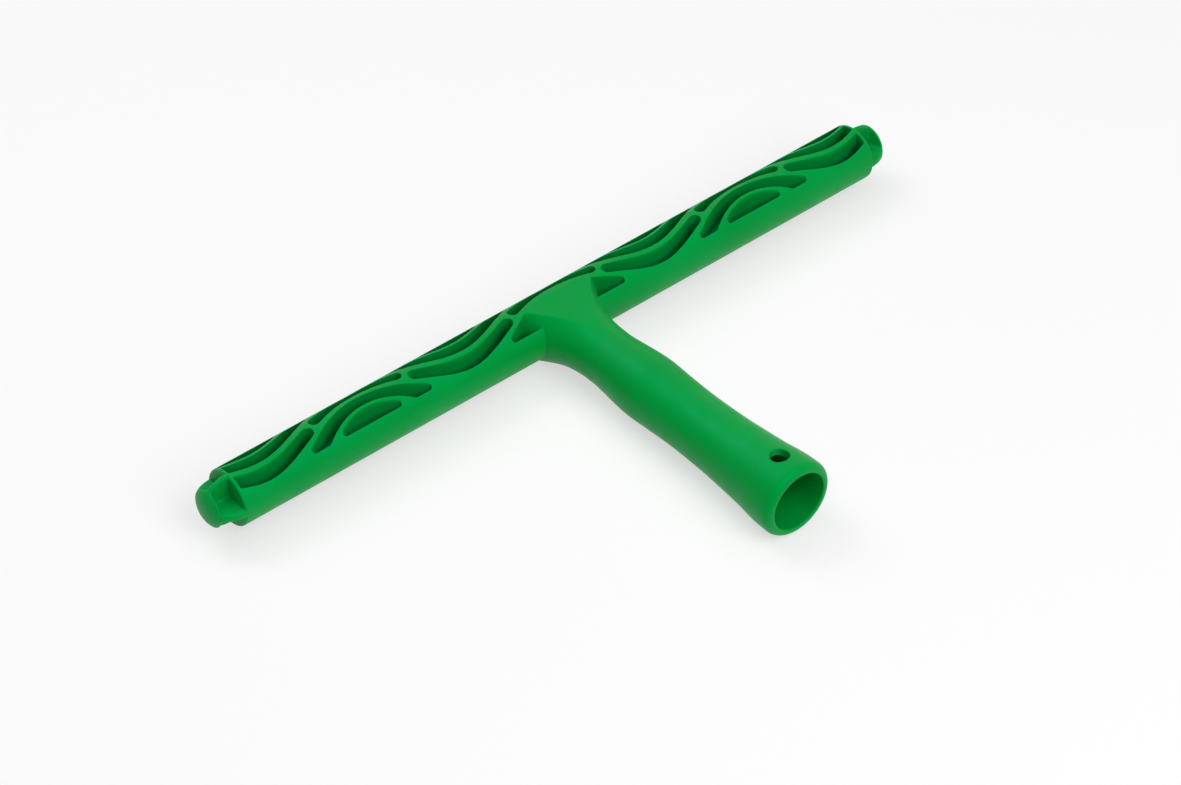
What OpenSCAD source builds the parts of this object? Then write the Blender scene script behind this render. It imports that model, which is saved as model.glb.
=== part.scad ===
// Window scrubber: the hand-held T-bar that carries a washing sleeve.
// A round ribbed crossbar, a handle with a pole socket and two end plugs, all rigid.
// The tool lies flat: X runs along the crossbar, +Y runs up the handle and +Z is up.
// The origin is the middle of the handle's open end, where a pole goes in.

/* [Crossbar] */
// Overall length over the two end plugs
overall_length = 350; // [300:1:450]
// Diameter of the round crossbar
bar_diameter = 24.4; // [24:0.1:25]
// Thickness of each end wall
end_wall = 1.4; // [1:0.1:2]
// Rounding of the crossbar's end edges
end_edge_radius = 0.8; // [0.6:0.1:1.4]
// Thickness of the flat web at mid-height that all pockets stand on
web_thickness = 2.4; // [2:0.1:4]

/* [Wave ribs] */
// Distance along the bar from one wave crest to the next
crest_pitch = 49.65; // [49.2:0.05:49.8]
// Half-width of the band that holds the pockets, measured from the bar's axis
pocket_reach = 9.1; // [8.9:0.05:9.3]
// Radius of the round tips of the long pockets
band_tip_radius = 1; // [0.8:0.05:1.1]
// Radius of the round tips of the half-moon pockets
moon_tip_radius = 1; // [0.6:0.05:1.1]

/* [Handle] */
// Distance from the crossbar's axis to the open end of the handle
handle_reach = 143.5; // [142.5:0.1:144.5]
// Diameter of the neck behind the crossbar
neck_diameter = 24; // [23.6:0.1:24.2]
// Diameter of the swell that fills the palm
palm_diameter = 27.6; // [27:0.1:28.5]
// Diameter of the waist in front of the palm swell
waist_diameter = 26; // [25.6:0.1:26.6]
// Largest diameter, just behind the open end
mouth_diameter = 32.9; // [32.6:0.1:34]
// Radius of the round lip at the open end
lip_radius = 3.6; // [3.4:0.1:3.7]

/* [Pole socket] */
// Diameter of the straight part of the pole socket
socket_diameter = 25.2; // [25:0.1:25.4]
// Length of the straight part of the pole socket
socket_straight = 24; // [22:0.5:26]
// Depth of the whole blind socket
socket_depth = 96; // [90:1:100]
// Diameter of the hole for a pole's lock button
lock_hole_diameter = 7.8; // [6:0.1:8.5]
// Distance of the lock hole's axis from the open end
lock_hole_setback = 11.9; // [11:0.1:12.5]

/* [End plugs] */
// Length of each end plug, from the crossbar's end wall to its tip
plug_length = 11.5; // [10.5:0.1:13]
// Thickness of the upright fin that joins an end knob to the crossbar
fin_thickness = 2; // [1.6:0.1:3]
// Thickness of the level flange that crosses the fin
flange_thickness = 3.4; // [2.4:0.1:4.4]
// Thickness of each solid end knob at its middle
knob_thickness = 6; // [5:0.1:7]
// Thickness of each end knob at its rim
knob_rim_thickness = 2.8; // [2.2:0.1:3.4]

/* [Hidden] */
bar_radius = bar_diameter / 2;
body_half = overall_length / 2 - plug_length;
wall_inner = body_half - end_wall;
wave_length = 2 * crest_pitch;
web_top = web_thickness / 2;
over = 2;
// The round body's outline starts at this angle about its axis, clear of all flat cuts
start_line = 50;
plastic = [0, 0.59, 0.24];
round_facets = 96;

// Crests on each side of the middle one, the last of them cut short by the end wall
crests = ceil(wall_inner / crest_pitch - 0.5);
// Edges of the pockets across one crest, as [place on the bar's axis line, rise of the wave].
// They are written for a crest that points to the front, and are turned over for the others.
crescent_outer = [-9.4, 6];
crescent_inner = [-4.6, 6.5];
band_outer = [-2.45, 7.8];
band_inner = [2.35, 8.9];
moon_edge = [3.7, 10];
// Half-lengths of the crescents to the middle of their round tips
front_crescent_half = 23.6;
rear_crescent_half = 20;
// Distance from the middle at which the corner pockets begin, under the neck's flanks
corner_start = 14.2;
// The neck's flare: where it starts, how far it spreads at the bar's axis, and how fast
flare_start = 34;
flare_rise = 10;
flare_power = 2.6;
flare_steps = 16;
// Half-width of the handle's root at the bar's axis, and how far in front of it this holds,
// so that the ribs beside the root stay whole
root_half_width = 17.5;
root_shoulder = 2.5;
// Knob, fin and flange follow a superellipse that starts a little inside the bar
nose_lead = 2.5;
nose_power = 2.5;
nose_start = body_half - nose_lead;
nose_length = plug_length + nose_lead;
tip = overall_length / 2;
knob_steps = 14;
curve_steps = 12;
cap_steps = 6;
// Diameters of the socket's tapered part, and the depth at which its taper eases
socket_mid_diameter = 20.8;
socket_end_diameter = 19.2;
socket_mid_depth = 50;

// Height of a wave above its lowest place, at a distance from the crest
function wave(d) = 1 - cos(360 * d / wave_length);
function edge(e, d) = e[0] + e[1] * wave(d);
function edge_angle(e, d) = atan(e[1] * sin(360 * d / wave_length) * 2 * PI / wave_length);
// Points along an edge between two distances, without its ends
function run(e, from, to, steps = curve_steps) =
    [for (i = [1:steps - 1]) let (d = from + (to - from) * i / steps) [d, edge(e, d)]];
// Points round a tip, with both its ends
function cap(centre, r, from, to) =
    [for (i = [0:cap_steps]) let (a = from + (to - from) * i / cap_steps)
        centre + r * [cos(a), sin(a)]];
// Distance from the crest at which an edge reaches a height
function reach(e, y) = acos(1 - (y - e[0]) / e[1]) * wave_length / 360;
// Middle of a round tip that touches both an edge and the straight side of the band
function side_tip(e, r) =
    let (rough = reach(e, pocket_reach - 2 * r))
    let (y = pocket_reach - r - r / cos(edge_angle(e, rough)))
    [reach(e, y), pocket_reach - r];

// Crescent pocket with two round tips
function crescent_outline(half) =
    let (outer = edge(crescent_outer, half))
    let (inner = edge(crescent_inner, half))
    let (lean = edge_angle(crescent_outer, half))
    let (r = (inner - outer) / 2 * cos(lean))
    let (turn = r * sin(lean))
    let (y = (inner + outer) / 2)
    concat(
        run(crescent_outer, -half - turn, half + turn),
        cap([half, y], r, lean - 90, lean + 90),
        run(crescent_inner, half - turn, turn - half),
        cap([-half, y], r, 90 - lean, 270 - lean)
    );

// Long pocket that runs across the band beside the rib of the half-moon
function band_outline() =
    let (r = band_tip_radius)
    let (tip = side_tip(band_outer, r))
    let (lean = edge_angle(band_outer, tip.x))
    let (turn = r * sin(lean))
    let (inner = reach(band_inner, pocket_reach))
    concat(
        run(band_outer, -tip.x - turn, tip.x + turn),
        cap(tip, r, lean - 90, 90),
        [[inner, pocket_reach]],
        run(band_inner, inner, -inner),
        [[-inner, pocket_reach]],
        cap([-tip.x, tip.y], r, 90, 270 - lean)
    );

// Half-moon pocket between its rib and the side of the band
function moon_outline() =
    let (r = moon_tip_radius)
    let (tip = side_tip(moon_edge, r))
    let (lean = edge_angle(moon_edge, tip.x))
    let (turn = r * sin(lean))
    concat(
        run(moon_edge, -tip.x - turn, tip.x + turn),
        cap(tip, r, lean - 90, 90),
        cap([-tip.x, tip.y], r, 90, 270 - lean)
    );

// Small pocket between the rib beside the neck and the front side of the band
function corner_outline(from) =
    let (r = band_tip_radius)
    let (tip = side_tip(band_outer, r))
    let (lean = edge_angle(band_outer, tip.x))
    concat(
        [[from, pocket_reach], [from, edge(band_outer, from)]],
        run(band_outer, from, tip.x + r * sin(lean), 6),
        cap(tip, r, lean - 90, 90)
    );

// One crest's pockets in plan
module crest_pockets(crescent_half) {
    polygon(crescent_outline(crescent_half));
    polygon(band_outline());
    polygon(moon_outline());
}

// The pockets of the right half of the bar in plan, up to the end wall
module half_plan() {
    intersection() {
        translate([0, -bar_radius]) square([wall_inner, 2 * bar_radius]);
        union() {
            for (i = [1:crests])
                translate([i * crest_pitch, 0])
                    if (i % 2 == 1) crest_pockets(front_crescent_half);
                    else rotate(180) crest_pockets(rear_crescent_half);
            mirror([0, 1]) polygon(corner_outline(corner_start));
        }
    }
}

// All pockets in plan, with the pocket behind the neck in the middle
module bar_plan() {
    half_plan();
    mirror([1, 0]) half_plan();
    rotate(180) polygon(crescent_outline(rear_crescent_half));
}

// The pockets of one face, from the web out through the skin
module pockets() {
    translate([0, 0, web_top])
        linear_extrude(height = bar_radius + over - web_top) bar_plan();
}

// Round bar with eased end edges
module bar_body() {
    e = end_edge_radius;
    rotate([0, 90, 0])
        rotate([0, 0, start_line])
        rotate_extrude($fn = round_facets)
            polygon(concat(
                [[0, body_half], [0, -body_half]],
                [for (a = [-90:30:0]) [bar_radius - e + e * cos(a), e * sin(a) - body_half + e]],
                [for (a = [0:30:90]) [bar_radius - e + e * cos(a), e * sin(a) + body_half - e]]
            ));
}

// Radius of the handle's neck at a distance in front of the crossbar's axis
function neck_radius(d) =
    neck_diameter / 2 + flare_rise * pow(max(0, (flare_start - d) / flare_start), flare_power);

// Places along the grip, as [distance from the crossbar's axis, radius]
lip_middle = handle_reach - lip_radius;
grip_stations = [
    [flare_start, neck_diameter / 2],
    [42, neck_diameter / 2 + 0.6],
    [50, palm_diameter / 2 - 0.4],
    [58, palm_diameter / 2],
    [67, palm_diameter / 2 - 0.35],
    [82, waist_diameter / 2],
    [100, waist_diameter / 2 + 0.4],
    [114, waist_diameter / 2 + 1.3],
    [124, mouth_diameter / 2 - 1.3],
    [132, mouth_diameter / 2 - 0.3],
    [lip_middle, mouth_diameter / 2]
];
// Slope of the grip's outline at a station, level at both ends
function slope(i) =
    i == 0 || i == len(grip_stations) - 1 ? 0
        : (grip_stations[i + 1][1] - grip_stations[i - 1][1])
            / (grip_stations[i + 1][0] - grip_stations[i - 1][0]);
// Point between two stations on a smooth cubic
function grip_point(i, t) =
    let (a = grip_stations[i])
    let (b = grip_stations[i + 1])
    let (h = b[0] - a[0])
    [
        a[0] + h * t,
        a[1] * (2 * pow(t, 3) - 3 * pow(t, 2) + 1) + b[1] * (3 * pow(t, 2) - 2 * pow(t, 3))
            + h * slope(i) * (pow(t, 3) - 2 * pow(t, 2) + t)
            + h * slope(i + 1) * (pow(t, 3) - pow(t, 2))
    ];

// Outline of neck, grip and lip, as [radius, distance from the crossbar's axis]
function handle_outline() = concat(
    [[0, 0]],
    [for (i = [0:flare_steps - 1]) let (d = flare_start * i / flare_steps) [neck_radius(d), d]],
    [for (i = [0:len(grip_stations) - 2]) for (t = [0, 1 / 3, 2 / 3])
        let (p = grip_point(i, t)) [p.y, p.x]],
    [for (a = [0:15:90])
        [mouth_diameter / 2 - lip_radius * (1 - cos(a)), lip_middle + lip_radius * sin(a)]],
    [[0, handle_reach]]
);

// Round neck and grip, with shoulders where the root enters the crossbar
module round_handle() {
    difference() {
        rotate([90, 0, 0]) rotate_extrude($fn = round_facets) polygon(handle_outline());
        for (s = [-1, 1])
            translate([s * (root_half_width + bar_radius), 0, 0])
                cube([2 * bar_radius, 2 * root_shoulder, 4 * bar_radius], center = true);
    }
}

// The neck is cut flat, level with the bar's top and underside
module neck_and_grip() {
    difference() {
        round_handle();
        for (s = [-1, 1])
            translate([0, 0, 2 * s * bar_radius])
                cube([4 * bar_radius, 2 * flare_start, 2 * bar_radius], center = true);
    }
}

// Blind socket: a straight mouth for the pole, then two tapers
module socket() {
    translate([0, -handle_reach, 0]) rotate([-90, 0, 0]) {
        translate([0, 0, -over])
            cylinder(d = socket_diameter, h = socket_straight + over, $fn = round_facets);
        translate([0, 0, socket_straight])
            cylinder(d1 = socket_diameter, d2 = socket_mid_diameter,
                h = socket_mid_depth - socket_straight, $fn = round_facets);
        translate([0, 0, socket_mid_depth])
            cylinder(d1 = socket_mid_diameter, d2 = socket_end_diameter,
                h = socket_depth - socket_mid_depth, $fn = round_facets);
    }
}

// Radius of the end shape at a place along the bar
function nose_radius(x) =
    bar_radius * pow(max(0, 1 - pow((x - nose_start) / nose_length, nose_power)), 1 / nose_power);

// Solid of the end shape from one place to the tip, with its flat end sunk to a cone
module nose(from, cone = 0) {
    rotate([0, 90, 0])
        rotate_extrude($fn = round_facets)
            polygon(concat(
                [[0, from - cone]],
                [for (i = [0:knob_steps])
                    let (x = from + (tip - from) * sin(90 * i / knob_steps))
                    [nose_radius(x), x]]
            ));
}

// Right-hand plug: a domed knob on a cross of upright fin and level flange
module end_plug() {
    stem = tip - knob_rim_thickness - body_half;
    nose(tip - knob_rim_thickness, knob_thickness - knob_rim_thickness);
    intersection() {
        nose(body_half);
        union() {
            translate([body_half - over, -fin_thickness / 2, -bar_radius])
                cube([stem + over, fin_thickness, 2 * bar_radius]);
            translate([body_half - over, -bar_radius, -flange_thickness / 2])
                cube([stem + over, 2 * bar_radius, flange_thickness]);
        }
    }
}

// Moves a sub-part from the crossbar's axis to its place and gives it the plastic's colour
module place() {
    color(plastic) translate([0, handle_reach, 0]) children();
}

module crossbar() {
    place()
        difference() {
            bar_body();
            pockets();
            mirror([0, 0, 1]) pockets();
            round_handle();
        }
}

module handle() {
    place()
        difference() {
            neck_and_grip();
            socket();
            translate([0, lock_hole_setback - handle_reach, 0])
                cylinder(d = lock_hole_diameter, h = mouth_diameter, $fn = round_facets);
        }
}

module end_plug_left() {
    place() mirror([1, 0, 0]) end_plug();
}

module end_plug_right() {
    place() end_plug();
}

crossbar();
handle();
end_plug_left();
end_plug_right();
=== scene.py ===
import math

import bpy
import numpy as np
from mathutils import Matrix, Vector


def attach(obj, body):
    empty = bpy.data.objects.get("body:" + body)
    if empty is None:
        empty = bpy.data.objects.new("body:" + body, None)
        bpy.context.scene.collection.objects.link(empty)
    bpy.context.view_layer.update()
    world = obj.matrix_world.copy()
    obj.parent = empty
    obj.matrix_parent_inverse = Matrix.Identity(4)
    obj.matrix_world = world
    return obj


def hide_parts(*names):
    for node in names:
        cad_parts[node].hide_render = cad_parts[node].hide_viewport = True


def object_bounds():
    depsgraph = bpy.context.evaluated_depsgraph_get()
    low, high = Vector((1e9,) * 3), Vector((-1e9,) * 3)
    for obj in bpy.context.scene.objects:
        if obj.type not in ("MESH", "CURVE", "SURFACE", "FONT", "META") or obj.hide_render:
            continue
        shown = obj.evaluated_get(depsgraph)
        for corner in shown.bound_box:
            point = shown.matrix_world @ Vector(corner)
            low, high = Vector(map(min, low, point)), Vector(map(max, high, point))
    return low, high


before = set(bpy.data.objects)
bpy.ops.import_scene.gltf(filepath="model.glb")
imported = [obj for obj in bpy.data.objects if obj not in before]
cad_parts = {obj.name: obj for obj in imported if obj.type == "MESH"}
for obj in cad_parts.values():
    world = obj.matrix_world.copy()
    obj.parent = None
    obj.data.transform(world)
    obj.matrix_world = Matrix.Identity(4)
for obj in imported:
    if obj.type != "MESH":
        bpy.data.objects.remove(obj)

import openvdb
from mathutils import Matrix, Vector
from mathutils.geometry import delaunay_2d_cdt

cad_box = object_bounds()
MM = 0.001

# Crossbar, in millimetres from the crossing of the bar's and the handle's axes
BAR_R = 12.2
BODY = 163.5  # the bar's end face
WALL = 162.1  # the inner side of its end wall
WEB = 1.2  # the top of the web
END_R = 0.8  # rounding of the bar's end edges

# Pockets: their edges are (place on the bar's axis line, rise of the wave)
PITCH = 49.65
CRESTS = 3
BAND = 9.1  # half-width of the band that holds them
TIP_R = 1.0  # round tips on the band's side
POCKET_EDGE = 0.45  # rounding of their upper edges
CRESCENT_OUT, CRESCENT_IN = (-9.4, 6.0), (-4.6, 6.5)
BAND_OUT, BAND_IN = (-2.45, 7.8), (2.35, 8.9)
MOON = (3.7, 10.0)
FRONT_HALF, REAR_HALF = 23.6, 20.0  # half-lengths of the crescents
CORNER_START = 14.2

# Handle: radii of the grip at distances from the bar's axis
REACH = 143.5
NECK, PALM, WAIST, MOUTH, LIP = 12.0, 13.8, 13.0, 16.45, 3.6
LIP_START = REACH - LIP
FLARE_START, FLARE_RISE, FLARE_POWER = 34, 10, 2.6
GRIP_START = 35.2  # the first row of points past the flare
STATIONS = np.array([
    (34, NECK), (42, NECK + 0.6), (50, PALM - 0.4), (58, PALM), (67, PALM - 0.35), (82, WAIST),
    (100, WAIST + 0.4), (114, WAIST + 1.3), (124, MOUTH - 1.3), (132, MOUTH - 0.3),
    (LIP_START, MOUTH),
])
SLOPES = np.r_[0, (STATIONS[2:, 1] - STATIONS[:-2, 1]) / (STATIONS[2:, 0] - STATIONS[:-2, 0]), 0]
# The plateau's cut fades out from here on, and is a little low where it meets the bar's skin
FLAT_FADE, FLAT_FADE_LENGTH, FLAT_LIFT = 26, 8, 6
FLAT_SINK, FLAT_SINK_LENGTH = 0.04, 1.5
FLAT_SOFT = 0.5
ARC = 14.0  # the radius at which the handle is laid out flat
AROUND = 120  # points round the handle
# Rows of points that follow the plateaus' creases, and the room that other points leave them
CREASE_END, CREASE_STEP, CREASE_CLEAR = 25.6, 0.5, 1.35
CREASE_ROWS = (-1.1, -0.7, -0.35, 0, 0.35, 0.7, 1.1)

# Pole socket and lock hole
SOCKET_R = 12.6
SOCKET_STRAIGHT = 24
SOCKET_TAPERS = ((24, 12.6), (25.5, 12.45), (50, 10.4), (52, 10.35), (95.4, 9.62), (96, 9.0))
MOUTH_EDGE = 0.7
HOLE_R, HOLE_D = 3.9, REACH - 11.9
HOLE_EDGE = 0.55
HOLE_POINTS = 56

# End plugs
TIP = 175.0
NOSE_LEAD, NOSE_LENGTH, NOSE_POWER = 2.5, 14, 2.5
FIN_HALF, FLANGE_HALF = 1.0, 1.7
KNOB_BACK = 169.0  # the knob's inner face on the axis, a cone that rises to its rim
KNOB_CONE, KNOB_R = 3.2, 8.4
ROOT_R, ROOT_OUT, ROOT_DEPTH = 11.2, 0.02, 0.9  # a disc in the bar's end that they grow from
FIN_BLEND, KNOB_BLEND, NOSE_BLEND, ROOT_BLEND = 1.2, 1.4, 1.1, 0.9
PLUG_STEP = 0.25
PLUG_MARGIN, PLUG_START = 1, BODY - 1.6  # the block of space that the field fills


# Outlines of the pockets in plan, for a crest that points to the front
def edge(e, d):
    # Height of an edge at a distance from the crest
    return e[0] + e[1] * (1 - np.cos(math.pi * d / PITCH))


def lean(e, d):
    return math.atan(e[1] * math.sin(math.pi * d / PITCH) * math.pi / PITCH)


def reach(e, y):
    # Distance from the crest at which an edge comes to a height
    return math.acos(1 - (y - e[0]) / e[1]) * PITCH / math.pi


def run(e, start, end, n=60):
    d = np.linspace(start, end, n)
    return np.c_[d, edge(e, d)]


def round_tip(middle, r, start, end, n=16):
    t = np.linspace(start, end, n)
    return np.c_[middle[0] + r * np.cos(t), middle[1] + r * np.sin(t)]


def side_tip(e):
    # Middle of a round tip that touches both an edge and the side of the band
    rough = lean(e, reach(e, BAND - 2 * TIP_R))
    return reach(e, BAND - TIP_R - TIP_R / math.cos(rough)), BAND - TIP_R


def crescent(half):
    low, high = edge(CRESCENT_OUT, half), edge(CRESCENT_IN, half)
    a = lean(CRESCENT_OUT, half)
    r = (high - low) / 2 * math.cos(a)
    t, y = r * math.sin(a), (low + high) / 2
    return np.vstack([
        run(CRESCENT_OUT, -half - t, half + t),
        round_tip((half, y), r, a - math.pi / 2, a + math.pi / 2),
        run(CRESCENT_IN, half - t, t - half),
        round_tip((-half, y), r, math.pi / 2 - a, 1.5 * math.pi - a),
    ])


def sided(e, top):
    # Pocket between an edge and a row of points on its far side, with two round tips
    x, y = side_tip(e)
    a = lean(e, x)
    t = TIP_R * math.sin(a)
    return np.vstack([
        run(e, -x - t, x + t),
        round_tip((x, y), TIP_R, a - math.pi / 2, math.pi / 2),
        top,
        round_tip((-x, y), TIP_R, math.pi / 2, 1.5 * math.pi - a),
    ])


def band():
    x = reach(BAND_IN, BAND)
    return sided(BAND_OUT, run(BAND_IN, x, -x))


def moon():
    x = side_tip(MOON)[0]
    return sided(MOON, np.array([[x * 0.5, BAND], [-x * 0.5, BAND]]))


def corner():
    # Small pocket beside the neck
    x, y = side_tip(BAND_OUT)
    a = lean(BAND_OUT, x)
    return np.vstack([
        [[CORNER_START, BAND]],
        run(BAND_OUT, CORNER_START, x + TIP_R * math.sin(a), 30),
        round_tip((x, y), TIP_R, a - math.pi / 2, math.pi / 2),
    ])


def cut_short(p):
    # The part of a closed outline that lies inside the end wall
    out = []
    for a, b in zip(p, np.roll(p, -1, axis=0)):
        if a[0] <= WALL:
            out.append(a)
        if (a[0] - WALL) * (b[0] - WALL) < 0:
            out.append(a + (b - a) * (WALL - a[0]) / (b[0] - a[0]))
    return np.array(out)


def soften(p, spacing=0.36, blur=0.4):
    # Evenly spaced anticlockwise points, with corners rounded by a small blur
    q = np.vstack([p, p[:1]])
    step = np.hypot(*np.diff(q, axis=0).T)
    keep = np.r_[True, step > 1e-6]
    q, at = q[keep], np.r_[0, np.cumsum(step[step > 1e-6])]
    n = max(24, int(at[-1] / spacing))
    s = np.linspace(0, at[-1], n, endpoint=False)
    z = np.interp(s, at, q[:, 0]) + 1j * np.interp(s, at, q[:, 1])
    f = np.fft.fftfreq(n, at[-1] / n)
    z = np.fft.ifft(np.fft.fft(z) * np.exp(-0.5 * (2 * math.pi * f * blur) ** 2))
    if np.sum(z.real * np.roll(z.imag, -1) - np.roll(z.real, -1) * z.imag) < 0:
        z = z[::-1]
    return np.c_[z.real, z.imag]


def pocket_outlines():
    # All pockets of one face: behind the neck, beside it, then crest by crest on both sides
    small = corner()
    out = [-crescent(REAR_HALF), small * (1, -1), small * (-1, -1)]
    for i in range(1, CRESTS + 1):
        turn, half = (1, FRONT_HALF) if i % 2 else (-1, REAR_HALF)
        for p in (crescent(half), band(), moon()):
            p = cut_short(p * turn + (i * PITCH, 0))
            out += [p, p * (-1, 1)]
    return [soften(p) for p in out]


# Collects vertices, their normals and faces, and makes them one mesh
class Build:
    def __init__(self):
        self.v, self.n, self.f, self.size = [], [], [], 0

    def add(self, v, n):
        v, n = np.broadcast_arrays(np.asarray(v, float), np.asarray(n, float))
        self.v.append(v.copy())
        self.n.append(n / np.linalg.norm(n, axis=1, keepdims=True))
        self.size += len(v)
        return self.size - len(v)

    def sheet(self, v, n, faces):
        k = self.add(v, n)
        self.f += [tuple(k + i for i in face) for face in faces]

    def lid(self, ring, normal):
        # One flat face over a ring of points
        k = self.add(ring, normal)
        self.f.append(tuple(range(k, k + len(ring))))

    def rings(self, rows):
        # Closed rows of (points, normals) of one length, each joined to the next with quads
        n = len(rows[0][0])
        starts = [self.add(*row) for row in rows]
        for a, b in zip(starts, starts[1:]):
            for i in range(n):
                j = (i + 1) % n
                self.f.append((a + i, a + j, b + j, b + i))

    def mirror_down(self):
        # Adds the mirror image of all that is there, for the underside
        flip = (1, 1, -1)
        v, n, faces = np.vstack(self.v) * flip, np.vstack(self.n) * flip, list(self.f)
        k = self.add(v, n)
        self.f += [tuple(k + i for i in reversed(face)) for face in faces]

    def make(self, name):
        # One object in the part's frame, with equal points merged and faces turned outward
        v, n = np.vstack(self.v), np.vstack(self.n)
        _, first, same = np.unique(np.round(v, 4), axis=0, return_index=True, return_inverse=True)
        same = same.ravel()
        faces, corners = [], []
        for f in self.f:
            g = [same[i] for i in f]
            keep = [k for k in range(len(g)) if g[k] != g[k - 1]]
            if len({g[k] for k in keep}) > 2:
                three = [f[k] for k in keep[:3]]
                a, b, c = v[three]
                if np.dot(np.cross(b - a, c - a), n[three].sum(0)) < 0:
                    keep = keep[::-1]
                faces.append([g[k] for k in keep])
                corners += [f[k] for k in keep]
        me = bpy.data.meshes.new(name)
        at = np.clip((v[first] + (0, REACH, 0)) * MM, *np.array(cad_box))
        me.from_pydata(at.tolist(), [], faces)
        me.polygons.foreach_set("use_smooth", [True] * len(me.polygons))
        me.update()
        me.normals_split_custom_set(n[corners].tolist())
        ob = bpy.data.objects.new(name, me)
        bpy.context.scene.collection.objects.link(ob)
        return ob


def outward(p):
    # Unit normals of a closed anticlockwise outline
    t = np.roll(p, -1, axis=0) - np.roll(p, 1, axis=0)
    t /= np.linalg.norm(t, axis=1, keepdims=True)
    return np.c_[t[:, 1], -t[:, 0]]


def inside(p, loop):
    # Which points lie inside a closed outline
    x, y = p[:, 0], p[:, 1]
    hit = np.zeros(len(p), bool)
    for a, b in zip(loop, np.roll(loop, -1, axis=0)):
        if a[1] != b[1]:
            cross = (a[1] > y) != (b[1] > y)
            hit ^= cross & (x < (b[0] - a[0]) * (y - a[1]) / (b[1] - a[1]) + a[0])
    return hit


def patch(points, loops, clear):
    # Flat points and triangles over free points and round the holes. Points on the border all
    # stay, so that neighbours meet there point by point.
    edges, n = [], 0
    for loop in loops:
        edges += [(n + i, n + (i + 1) % len(loop)) for i in range(len(loop))]
        n += len(loop)
    keep = np.ones(len(points), bool)
    border = np.any((points == points.min(0)) | (points == points.max(0)), axis=1)
    for loop in loops:
        low, high = loop.min(0) - clear, loop.max(0) + clear
        close = np.all((points > low) & (points < high), axis=1) & ~border
        idx = np.nonzero(close & keep)[0]
        if len(idx):
            d = np.min(np.linalg.norm(points[idx, None] - loop[None], axis=2), axis=1)
            keep[idx] = ~((d < clear) | inside(points[idx], loop))
    flat = np.vstack([*loops, points[keep]])
    v, _, f = delaunay_2d_cdt([Vector(p) for p in flat], edges, [], 0, 1e-6, True)[:3]
    v = np.array([tuple(p) for p in v])
    f = np.array(f)
    centre = v[f].mean(1)
    drop = np.zeros(len(f), bool)
    for loop in loops:
        close = np.all((centre > loop.min(0)) & (centre < loop.max(0)), axis=1) & ~drop
        idx = np.nonzero(close)[0]
        if len(idx):
            drop[idx] = inside(centre[idx], loop)
    e1, e2 = v[f[:, 1]] - v[f[:, 0]], v[f[:, 2]] - v[f[:, 0]]
    area = np.abs(e1[:, 0] * e2[:, 1] - e1[:, 1] * e2[:, 0])
    return v, f[~drop & (area > 1e-7)]


def bend(a, c, b, na, nb, steps=4):
    # Rounded edge from a to b past the sharp corner c, as rows for rings
    rows = []
    for t in np.linspace(0, 1, steps + 1):
        p = (1 - t) ** 2 * a + 2 * t * (1 - t) * c + t * t * b
        rows.append((p, (1 - t) * na + t * nb))
    return rows


def soft_min(a, b, k):
    h = np.clip(k - np.abs(a - b), 0, None) / k
    return np.minimum(a, b) - h * h * k / 4


def soft_max(a, b, k):
    return -soft_min(-a, -b, k)


# Crossbar
def on_skin(q):
    # From (x, arc) on the round bar to a point and its normal
    a = q[:, 1] / BAR_R
    n = np.c_[np.zeros(len(q)), np.sin(a), np.cos(a)]
    return np.c_[q[:, 0], BAR_R * n[:, 1], BAR_R * n[:, 2]], n


def crossbar():
    b = Build()
    loops = []
    for p in pocket_outlines():
        q = np.c_[p[:, 0], BAR_R * np.arcsin(p[:, 1] / BAR_R)]
        loops.append(q + POCKET_EDGE * outward(q))
        top, n_top = on_skin(loops[-1])
        rim = on_skin(q)[0]
        n_wall = np.c_[-outward(p), np.zeros(len(p))]
        floor = np.c_[p, np.full(len(p), WEB)]
        rounded = bend(top, rim, rim - (0, 0, POCKET_EDGE), n_top, n_wall)
        b.rings(rounded + [(floor, n_wall)])
        b.lid(floor, (0, 0, 1))
    # The skin's upper half, and its mirror image
    x_end, half = BODY - END_R, BAR_R * math.pi / 2
    along, across = np.linspace(-x_end, x_end, 181), np.linspace(-half, half, 41)
    v, f = patch(np.array([(x, s) for x in along for s in across]), loops, 0.35)
    b.sheet(*on_skin(v), f)
    b.mirror_down()
    # The rounded ends meet the skin point by point
    m = 2 * (len(across) - 1)
    th = np.linspace(0, 2 * math.pi, m, endpoint=False)
    ring = np.c_[np.zeros(m), np.sin(th), np.cos(th)]
    for s in (-1, 1):
        rows = []
        for a in np.linspace(0, math.pi / 2, 7):
            n = ring * math.cos(a) + np.array((s * math.sin(a), 0, 0))
            r = BAR_R - END_R + END_R * math.cos(a)
            rows.append((ring * r + (s * (x_end + END_R * math.sin(a)), 0, 0), n))
        b.rings(rows)
        b.lid(rows[-1][0], (s, 0, 0))
    return b.make("crossbar_shell")


# Handle
def grip_radius(d):
    d = np.asarray(d, float)
    x, y = STATIONS[:, 0], STATIONS[:, 1]
    i = np.clip(np.searchsorted(x, d) - 1, 0, len(x) - 2)
    h = x[i + 1] - x[i]
    t = np.clip((d - x[i]) / h, 0, 1)
    r = (y[i] * (2 * t**3 - 3 * t**2 + 1) + y[i + 1] * (3 * t**2 - 2 * t**3)
         + h * SLOPES[i] * (t**3 - 2 * t**2 + t) + h * SLOPES[i + 1] * (t**3 - t**2))
    flare = NECK + FLARE_RISE * np.clip((FLARE_START - d) / FLARE_START, 0, None) ** FLARE_POWER
    return np.where(d < FLARE_START, flare, r)


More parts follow.
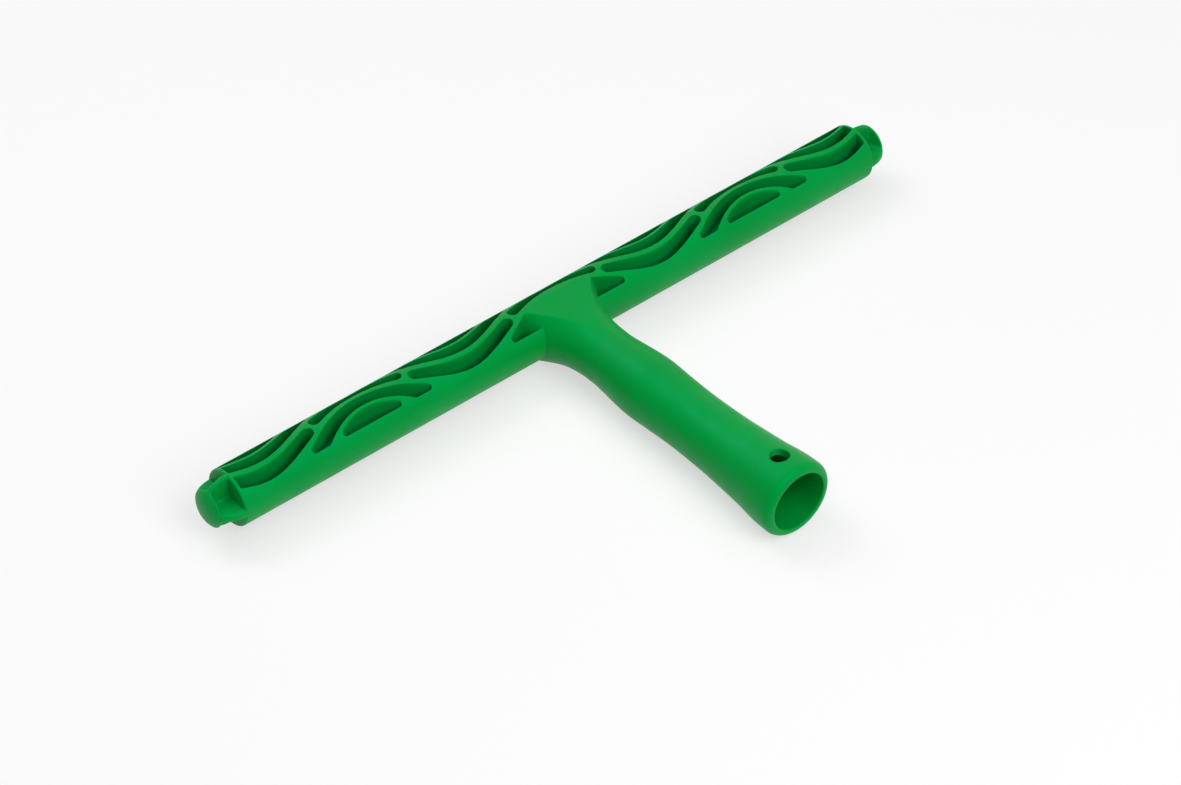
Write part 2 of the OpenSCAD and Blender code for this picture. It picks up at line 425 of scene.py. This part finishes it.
def handle_point(q):
    # From (distance from the bar's axis, arc from the top) to a point on the outside
    d, a = q[:, 0], q[:, 1] / ARC
    fade = np.clip((d - FLAT_FADE) / FLAT_FADE_LENGTH, 0, 1)
    level = BAR_R - FLAT_SINK * np.clip(1 - d / FLAT_SINK_LENGTH, 0, 1)
    flat = level / np.maximum(np.abs(np.cos(a)), 1e-3) + FLAT_LIFT * fade * fade
    r = soft_min(grip_radius(d), flat, FLAT_SOFT)
    return np.c_[r * np.sin(a), -d, r * np.cos(a)]


def handle_skin(q, step=1e-3):
    # The same points with outward normals, from small steps along the surface
    along = handle_point(q + (step, 0)) - handle_point(q - (step, 0))
    across = handle_point(q + (0, step)) - handle_point(q - (0, step))
    n = np.cross(along, across)
    n /= np.linalg.norm(n, axis=1, keepdims=True)
    p = handle_point(q)
    away = np.sum(n[:, [0, 2]] * p[:, [0, 2]], axis=1)
    return p, n * np.where(away < 0, -1, 1)[:, None]


def handle_points():
    # Free points as (distance, arc), in close rows along the four creases of the plateaus
    half = math.pi * ARC
    along = np.r_[np.linspace(0.0, FLARE_START, 35), np.linspace(GRIP_START, LIP_START, 88)]
    across = np.linspace(-math.pi, math.pi, AROUND + 1) * ARC
    grid = np.array([(d, a) for d in along for a in across])
    at = np.arange(0.0, CREASE_END, CREASE_STEP)
    turn = np.arccos(np.clip(BAR_R / grip_radius(at), 0, 1)) * ARC

    def creases(off):
        return [np.c_[at, s * a] for s in (-1, 1) for a in (turn + off, half - turn - off)]

    follow = np.vstack([row for off in CREASE_ROWS for row in creases(off)])
    lines = np.vstack(creases(0))
    ends = (grid[:, 0] == along[0]) | (grid[:, 0] == along[-1])
    border = ends | (np.abs(grid[:, 1]) > half - 1e-6)
    gap = np.min(np.linalg.norm(grid[:, None] - lines[None], axis=2), axis=1)
    return np.vstack([grid[(gap >= CREASE_CLEAR) | border], follow])


def handle():
    b = Build()
    # Outside, with the lock hole as (distance, arc)
    t = np.linspace(0, 2 * math.pi, HOLE_POINTS, endpoint=False)
    side = HOLE_R * np.cos(t)
    hole_d = HOLE_D + HOLE_R * np.sin(t)
    q = np.c_[hole_d, ARC * np.arcsin(side / float(grip_radius(HOLE_D)))]
    q += HOLE_EDGE * np.c_[np.sin(t), np.cos(t)]
    v, f = patch(handle_points(), [q[::-1]], 0.5)
    p, n = handle_skin(v)
    b.sheet(p, n, f)
    # Hidden end on the bar's axis
    end = np.nonzero(v[:, 0] == 0)[0]
    b.lid(p[end[np.argsort(v[end, 1])]], (0, 1, 0))
    # Rounded edge and wall of the lock hole
    top, n_top = handle_skin(q)
    rim = np.c_[side, -hole_d, np.sqrt(grip_radius(hole_d) ** 2 - side**2)]
    inner = np.c_[side, -hole_d, np.sqrt(SOCKET_R**2 - side**2)]
    n_wall = np.c_[-np.cos(t), np.sin(t), np.zeros(len(t))]
    b.rings(bend(top, rim, rim - (0, 0, HOLE_EDGE), n_top, n_wall) + [(inner, n_wall)])
    # Lip, from the outside over its crest to the straight socket
    th = np.linspace(-math.pi, math.pi, AROUND, endpoint=False)
    ring = np.c_[np.sin(th), np.zeros(AROUND), np.cos(th)]
    crest = SOCKET_R + MOUTH_EDGE
    wide = MOUTH - crest
    rows = []
    for a in np.linspace(0, math.pi / 2, 13):
        rows.append((ring * (crest + wide * math.cos(a)) - (0, LIP_START + LIP * math.sin(a), 0),
                     ring * math.cos(a) / wide - (0, math.sin(a) / LIP, 0)))
    for a in np.linspace(0, math.pi / 2, 7):
        y = REACH - MOUTH_EDGE + MOUTH_EDGE * math.cos(a)
        rows.append((ring * (crest - MOUTH_EDGE * math.sin(a)) - (0, y, 0),
                     -ring * math.sin(a) - (0, math.cos(a), 0)))
    b.rings(rows)
    # Straight part of the socket, with the hole
    hole = np.c_[hole_d, SOCKET_R * np.arcsin(side / SOCKET_R)]
    along = np.linspace(REACH - SOCKET_STRAIGHT, REACH - MOUTH_EDGE, 13)
    across = np.linspace(-math.pi, math.pi, AROUND + 1) * SOCKET_R
    v, f = patch(np.array([(d, a) for d in along for a in across]), [hole[::-1]], 0.4)
    a = v[:, 1] / SOCKET_R
    zero = np.zeros(len(a))
    n = np.c_[np.sin(a), zero, np.cos(a)]
    b.sheet(n * SOCKET_R - np.c_[zero, v[:, 0], zero], -n, f)
    # Tapers and blind end
    rows = [(ring * r - (0, REACH - depth, 0), -ring) for depth, r in SOCKET_TAPERS]
    b.rings(rows)
    b.lid(rows[-1][0], (0, -1, 0))
    return b.make("handle_shell")


# End plugs
def plug_field(p):
    # Field of the right-hand plug, below zero inside, as soft unions and cuts of simple ones
    x, y, z = p[..., 0], p[..., 1], p[..., 2]
    r = np.sqrt(y * y + z * z) + 1e-6
    u = np.clip((x - BODY + NOSE_LEAD) / NOSE_LENGTH, 0, None)
    g = u**NOSE_POWER + (r / BAR_R) ** NOSE_POWER - 1
    slope_x = NOSE_POWER * u ** (NOSE_POWER - 1) / NOSE_LENGTH
    slope_r = NOSE_POWER * (r / BAR_R) ** (NOSE_POWER - 1) / BAR_R
    nose = g / (np.sqrt(slope_x**2 + slope_r**2) + 1e-6)
    fin = np.abs(y) - FIN_HALF
    flange = np.abs(z) - FLANGE_HALF
    knob = (KNOB_BACK + KNOB_CONE * r / KNOB_R - x) / math.hypot(1, KNOB_CONE / KNOB_R)
    root = np.maximum(x - BODY - ROOT_OUT, r - ROOT_R)
    body = soft_min(soft_min(fin, flange, FIN_BLEND), knob, KNOB_BLEND)
    body = soft_min(soft_max(body, nose, NOSE_BLEND), root, ROOT_BLEND)
    return np.maximum(body, BODY - ROOT_DEPTH - x)


def plug_slope(p, step=1e-3):
    rise = [(plug_field(p + step * a) - plug_field(p - step * a)) / (2 * step) for a in np.eye(3)]
    return np.stack(rise, axis=-1)


def end_plug(side, name):
    low = np.array((PLUG_START, -BAR_R - PLUG_MARGIN, -BAR_R - PLUG_MARGIN))
    high = np.array((TIP + PLUG_MARGIN, BAR_R + PLUG_MARGIN, BAR_R + PLUG_MARGIN))
    n = np.ceil((high - low) / PLUG_STEP).astype(int)
    axes = [low[i] + PLUG_STEP * np.arange(n[i]) for i in range(3)]
    field = plug_field(np.stack(np.meshgrid(*axes, indexing="ij"), axis=-1))
    grid = openvdb.FloatGrid(3.0)
    grid.copyFromArray(field.astype(np.float32))
    points, quads = grid.convertToQuads(0.0)
    p = low + points * PLUG_STEP
    # Three small steps bring the points right onto the surface
    for _ in range(3):
        s = plug_slope(p)
        off = np.clip(plug_field(p), -0.2, 0.2) / np.maximum(np.sum(s * s, axis=1), 0.05)
        p = p - off[:, None] * s
    b = Build()
    b.sheet(p * (side, 1, 1), plug_slope(p) * (side, 1, 1), quads.tolist())
    return b.make(name)


pieces = {
    "crossbar": crossbar(),
    "handle": handle(),
    "end_plug_left": end_plug(-1, "end_plug_left_shell"),
    "end_plug_right": end_plug(1, "end_plug_right_shell"),
}
for node, ob in pieces.items():
    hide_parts(node)
    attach(ob, "root")


# Short forms for shader nodes
class Nodes:
    def __init__(self, tree):
        self.tree = tree
        self.link = tree.links.new

    def new(self, kind, **inputs):
        n = self.tree.nodes.new(kind)
        for name, value in inputs.items():
            self.put(n.inputs[name.replace("_", " ")], value)
        return n

    def put(self, socket, value):
        if isinstance(value, bpy.types.NodeSocket):
            self.link(value, socket)
        else:
            socket.default_value = value

    def calc(self, kind, a, b):
        n = self.tree.nodes.new("ShaderNodeMath")
        n.operation = kind
        self.put(n.inputs[0], a)
        self.put(n.inputs[1], b)
        return n.outputs[0]

    def noise(self, at, scale, detail):
        n = self.new("ShaderNodeTexNoise", Vector=at, Scale=scale, Detail=detail, Roughness=0.5)
        return n.outputs["Fac"]

    def span(self, value, low, high, to_low, to_high):
        n = self.new("ShaderNodeMapRange", Value=value, From_Min=low, From_Max=high,
                     To_Min=to_low, To_Max=to_high)
        return n.outputs["Result"]

    def mix(self, fac, a, b):
        n = self.tree.nodes.new("ShaderNodeMix")
        n.data_type = "RGBA"
        self.put(n.inputs["Factor"], fac)
        self.put(n.inputs[6], a)
        self.put(n.inputs[7], b)
        return n.outputs[2]


# Colours of the plastic: pigment in two tones, pale edges (wear and painted highlight), a bluer
# painted shade tint on faces close to others, painted shade deepest in, and the shine
PIGMENT_DARK, PIGMENT_LIGHT = (0.0, 0.268, 0.028, 1), (0.0, 0.302, 0.038, 1)
EDGE_WEAR_AND_HIGHLIGHT = (0.0, 0.40, 0.13, 1)
PAINTED_SHADE_TINT = (0.0, 0.29, 0.056, 1)
PAINTED_SHADE = (0.0, 0.02, 0.01, 1)
SHINE = (0.0, 1.0, 1.0, 1)


def plastic(name):
    mat = bpy.data.materials.new(name)
    mat.use_nodes = True
    t = Nodes(mat.node_tree)
    shader = mat.node_tree.nodes["Principled BSDF"]
    at = t.new("ShaderNodeTexCoord").outputs["Object"]
    # Edge mask: how far the surface turns within 0.6 mm, uneven; it paints wear and a painted
    # highlight
    bevel = t.new("ShaderNodeBevel", Radius=0.0006)
    bevel.samples = 6
    turn = t.tree.nodes.new("ShaderNodeVectorMath")
    turn.operation = "DOT_PRODUCT"
    t.link(bevel.outputs["Normal"], turn.inputs[0])
    t.link(t.new("ShaderNodeNewGeometry").outputs["Normal"], turn.inputs[1])
    sharp = t.span(turn.outputs["Value"], 0.995, 0.85, 0.0, 1.0)
    edge_wear_and_highlight = t.calc("MULTIPLY", sharp, t.span(t.noise(at, 90.0, 4.0), 0.35, 0.65, 0.35, 1.0))
    # Cavity mask: how open the surface is to its surroundings within 7 mm of the same piece; it
    # places painted shade
    cavity = t.new("ShaderNodeAmbientOcclusion", Distance=0.007)
    cavity.samples, cavity.only_local = 4, True
    openness = cavity.outputs["AO"]
    painted_shade_tint_mask = t.span(openness, 0.4, 0.8, 1.0, 0.0)
    painted_shade_mask = t.span(openness, 0.03, 0.16, 0.9, 0.0)
    # Colour: cloudy pigment, paler edges of wear and painted highlight, a painted shade tint
    # where faces lie close, and painted shade, nearly black, deep in pockets, corners and hole
    cloud = t.span(t.noise(at, 26.0, 4.0), 0.3, 0.7, 0.0, 1.0)
    body = t.mix(cloud, PIGMENT_DARK, PIGMENT_LIGHT)
    # paler edges: partly wear, partly a painted highlight
    body = t.mix(t.calc("MULTIPLY", edge_wear_and_highlight, 0.55), body, EDGE_WEAR_AND_HIGHLIGHT)
    # bluer painted shade tint where faces lie close to others
    body = t.mix(painted_shade_tint_mask, body, PAINTED_SHADE_TINT)
    # painted shade: near black deep in pockets, corners and the hole
    t.put(shader.inputs["Base Color"], t.mix(painted_shade_mask, body, PAINTED_SHADE))
    # Finish: satin, duller in patches and a little polished along the edges
    satin = t.span(t.noise(at, 140.0, 5.0), 0.3, 0.7, 0.40, 0.52)
    t.put(shader.inputs["Roughness"], t.calc("SUBTRACT", satin, t.calc("MULTIPLY", edge_wear_and_highlight, 0.08)))
    shader.inputs["Specular IOR Level"].default_value = 0.25
    shader.inputs["Specular Tint"].default_value = SHINE
    # Fine moulded grain over a slow waviness
    grain = t.noise(at, 1500.0, 2.0)
    wave = t.noise(at, 60.0, 2.0)
    height = t.calc("ADD", grain, t.calc("MULTIPLY", wave, 2.0))
    bump = t.new("ShaderNodeBump", Strength=0.10, Distance=0.0002, Height=height)
    t.put(shader.inputs["Normal"], bump.outputs["Normal"])
    return mat


green = plastic("green_plastic")
for ob in pieces.values():
    ob.data.materials.append(green)


def seen_direct(t):
    # One for rays from the camera, from gloss and through glass, and zero for the rest
    path = t.new("ShaderNodeLightPath")
    rays = t.calc("MAXIMUM", path.outputs["Is Camera Ray"], path.outputs["Is Glossy Ray"])
    return t.calc("MAXIMUM", rays, path.outputs["Is Transmission Ray"])


# Floor: white paper just under the part, which keeps a soft shadow because it glows only
# in part where it is seen
MIDDLE_Y, FLOOR_Z = 0.1, -0.0166
PAPER = 0.93
GLOW_SHARE = 0.6
WORLD_LIGHT = 0.12
bpy.ops.mesh.primitive_plane_add(size=12, location=(0, MIDDLE_Y, FLOOR_Z))
floor = bpy.context.object
floor.name = "floor"
paper = bpy.data.materials.new("floor")
paper.use_nodes = True
t = Nodes(paper.node_tree)
matt = paper.node_tree.nodes["Principled BSDF"]
matt.inputs["Base Color"].default_value = (PAPER, PAPER, PAPER, 1)
matt.inputs["Specular IOR Level"].default_value = 0.0
glow = t.new("ShaderNodeEmission", Color=(1, 1, 1, 1), Strength=1.0)
both = t.tree.nodes.new("ShaderNodeMixShader")
t.put(both.inputs[0], t.calc("MULTIPLY", seen_direct(t), GLOW_SHARE))
t.link(matt.outputs[0], both.inputs[1])
t.link(glow.outputs[0], both.inputs[2])
t.link(both.outputs[0], paper.node_tree.nodes["Material Output"].inputs["Surface"])
floor.data.materials.append(paper)

# World: white where it is seen, dim where it lights
world = bpy.data.worlds.new("world")
bpy.context.scene.world = world
world.use_nodes = True
t = Nodes(world.node_tree)
sky = world.node_tree.nodes["Background"]
sky.inputs["Color"].default_value = (1, 1, 1, 1)
t.put(sky.inputs["Strength"], t.span(seen_direct(t), 0.0, 1.0, WORLD_LIGHT, 1.0))


def direction(azimuth, elevation):
    # Azimuth 0 is in front of the open end
    return Vector((math.sin(azimuth) * math.cos(elevation),
                   -math.cos(azimuth) * math.cos(elevation), math.sin(elevation)))


def softbox(name, azimuth, elevation, distance, size, watts):
    # A square lamp that faces the middle of the part
    away = direction(math.radians(azimuth), math.radians(elevation))
    lamp = bpy.data.lights.new(name, "AREA")
    lamp.energy = watts
    lamp.size = size
    ob = bpy.data.objects.new(name, lamp)
    bpy.context.scene.collection.objects.link(ob)
    ob.location = Vector((0, MIDDLE_Y, 0)) + away * distance
    ob.rotation_euler = away.to_track_quat("Z", "Y").to_euler()
    ob.visible_camera = False


softbox("overhead", 0, 90, 1.5, 2.4, 14.3)
softbox("front", 0, 42, 1.5, 0.97, 12.8)
softbox("back", -165, 50, 1.5, 0.8, 6)

# Camera, with its focal length in pixels of a picture that is 1181 of them wide
AZIMUTH, ELEVATION, ROLL = math.radians(-40.475), math.radians(41.536), math.radians(-0.169)
DISTANCE = 1592.38 * MM
TARGET = Vector((-19.39, REACH - 44.04, 0)) * MM
FOCAL, WIDTH, SENSOR = 4068.4, 1181, 36
back = direction(AZIMUTH, ELEVATION)
right = (-back).cross(Vector((0, 0, 1))).normalized()
up = right.cross(-back)
c, s = math.cos(ROLL), math.sin(ROLL)
right, up = right * c + up * s, up * c - right * s
lens = bpy.data.cameras.new("camera")
lens.sensor_width = SENSOR
lens.lens = FOCAL * SENSOR / WIDTH
lens.clip_start, lens.clip_end = 0.05, 20
camera = bpy.data.objects.new("camera", lens)
bpy.context.scene.collection.objects.link(camera)
pose = Matrix((right, up, back)).transposed().to_4x4()
pose.translation = TARGET + back * DISTANCE
camera.matrix_world = pose
bpy.context.scene.camera = camera
bpy.context.scene.view_settings.view_transform = "Standard"
